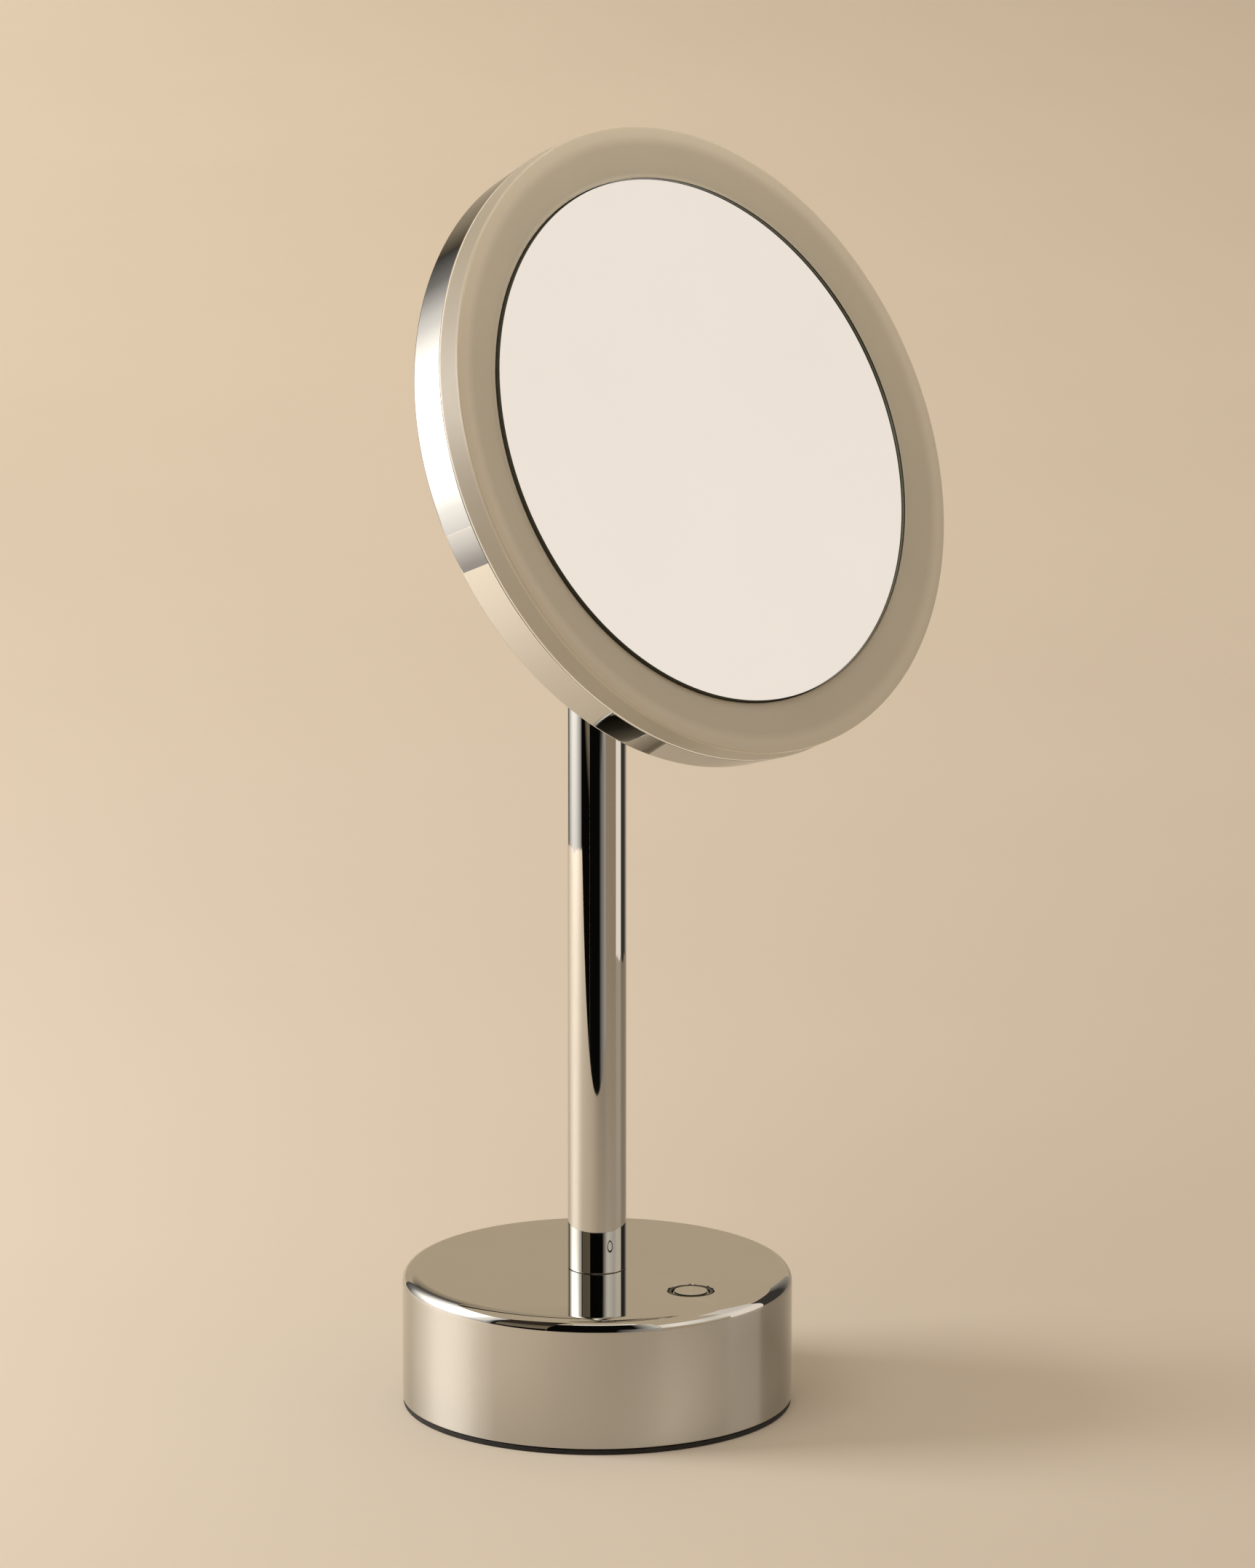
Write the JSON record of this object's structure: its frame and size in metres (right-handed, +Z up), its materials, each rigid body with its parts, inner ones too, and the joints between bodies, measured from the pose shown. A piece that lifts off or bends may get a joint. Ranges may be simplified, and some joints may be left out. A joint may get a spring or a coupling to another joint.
{
  "type": "lighted vanity mirror",
  "caption": "Free-standing round cosmetic mirror with an opal light ring, a head that tilts and swivels on a slim post, and a weighted round base with a push button.",
  "frame": {"origin": "centre of the rubber foot's underside, on the table, on the post's axis", "axes": "+Z up along the post, -Y towards the user: the mirror and the button face -Y at rest; +X to the right of someone behind the mirror looking along +Y"},
  "size_m": [0.1952, 0.1451, 0.3965],
  "materials": {
    "polished_chrome": "mirror-polished metal",
    "steel": "plain steel",
    "cast_iron": "rough cast, dark",
    "brass": "turned brass",
    "black_rubber": "matt black rubber",
    "black_plastic": "fine matt black",
    "white_plastic": "matt white",
    "opal": "satin translucent opal",
    "mirror": "silvered glass",
    "circuit_board": "solder mask green",
    "cell_wrap": "shrink-wrapped cell"
  },
  "bodies": {
    "stand": {"base_housing": "polished_chrome", "foot_pad": "black_rubber", "bottom_plate": "steel", "ballast_weight": "cast_iron", "base_screw_1": "steel", "base_screw_2": "steel", "base_screw_3": "steel", "base_screw_4": "steel", "battery_tray": "black_plastic", "battery_cell_front": "cell_wrap", "battery_cell_rear": "cell_wrap", "board_cradle": "black_plastic", "control_board": "circuit_board", "tact_switch": "black_plastic", "button_ring": "black_plastic", "charge_socket": "steel", "stand_washer": "steel", "stand_nut": "steel", "post_tube": "polished_chrome", "post_foot_plug": "steel", "post_top_bush": "brass", "power_cable": "black_plastic"},
    "button": {"power_button": "polished_chrome"},
    "yoke": {"swivel_fork": "polished_chrome", "swivel_washer": "black_plastic", "swivel_clip": "steel", "tilt_pin": "steel", "tilt_pin_nut": "steel", "friction_washer_left": "black_plastic", "friction_washer_right": "black_plastic"},
    "head": {"head_hub": "polished_chrome", "rear_shell": "polished_chrome", "light_diffuser": "opal", "mirror_glass": "mirror", "mirror_gasket": "black_plastic", "mirror_carrier": "black_plastic", "led_board": "white_plastic", "light_reflector": "white_plastic", "driver_board": "circuit_board", "head_lead": "black_plastic", "hub_screw_1": "steel", "hub_screw_2": "steel", "hub_screw_3": "steel", "carrier_screw_1": "steel", "carrier_screw_2": "steel", "carrier_screw_3": "steel"}
  },
  "joints": [
    {"name": "button_press", "type": "slide", "parent": "stand", "child": "button", "axis": [0, 0, -1], "range_m": [0, 0.0006], "stiffness_N_per_m": 1500, "springref_m": -0.0008},
    {"name": "head_swivel", "type": "hinge", "parent": "stand", "child": "yoke", "pos_m": [0, 0, 0.2674], "axis": [0, 0, 1], "range_deg": [-45, 45]},
    {"name": "head_tilt", "type": "hinge", "parent": "yoke", "child": "head", "pos_m": [0, 0, 0.2875], "axis": [-1, 0, 0], "range_deg": [-30, 35]}
  ]
}
